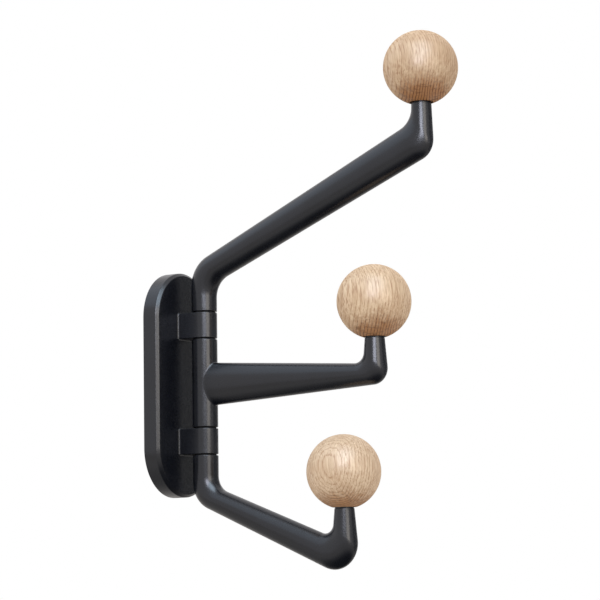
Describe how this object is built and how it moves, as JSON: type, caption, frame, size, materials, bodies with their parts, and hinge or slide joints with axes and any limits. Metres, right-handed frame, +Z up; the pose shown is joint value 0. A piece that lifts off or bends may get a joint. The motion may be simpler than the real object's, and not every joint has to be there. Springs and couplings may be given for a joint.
{
  "type": "swivel arm coat rack",
  "caption": "Wall coat rack with swivelling bent arms on one upright axle, each ending in a round wooden ball, on a slim rounded wall plate.",
  "frame": {"origin": "on the wall, behind the middle of the wall plate, on the rear face of the wall bracket", "axes": "+Z up along the wall, +Y into the wall, so the rack stands out along -Y, and +X to the right for someone who faces the wall"},
  "size_m": [0.06, 0.2081, 0.3201],
  "materials": {
    "powder_coat": "satin",
    "oak": "satin",
    "steel": "satin",
    "brass": "satin",
    "polymer": "matte"
  },
  "bodies": {
    "wall_unit": {"back_plate": "powder_coat", "wall_bracket": "steel", "plate_lock_screw": "steel", "upper_lug": "powder_coat", "lower_lug": "powder_coat", "upper_lug_screw_top": "steel", "upper_lug_screw_bottom": "steel", "lower_lug_screw_top": "steel", "lower_lug_screw_bottom": "steel", "axle": "steel"},
    "top_swivel_arm": {"top_arm": "powder_coat", "top_arm_screw": "steel", "top_arm_bush": "polymer", "top_ball": "oak", "top_ball_insert": "brass", "top_ball_stud": "steel"},
    "middle_swivel_arm": {"middle_arm": "powder_coat", "middle_arm_upper_bush": "polymer", "middle_arm_lower_bush": "polymer", "middle_ball": "oak", "middle_ball_insert": "brass", "middle_ball_stud": "steel"},
    "bottom_swivel_arm": {"bottom_arm": "powder_coat", "bottom_arm_screw": "steel", "bottom_arm_bush": "polymer", "bottom_ball": "oak", "bottom_ball_insert": "brass", "bottom_ball_stud": "steel"}
  },
  "joints": [
    {"name": "top_arm_swivel", "type": "hinge", "parent": "wall_unit", "child": "top_swivel_arm", "pos_m": [0, -0.0256, 0], "axis": [0, 0, 1], "range_deg": [-90, 90]},
    {"name": "middle_arm_swivel", "type": "hinge", "parent": "wall_unit", "child": "middle_swivel_arm", "pos_m": [0, -0.0256, 0], "axis": [0, 0, 1], "range_deg": [-90, 90]},
    {"name": "bottom_arm_swivel", "type": "hinge", "parent": "wall_unit", "child": "bottom_swivel_arm", "pos_m": [0, -0.0256, 0], "axis": [0, 0, 1], "range_deg": [-90, 90]}
  ]
}
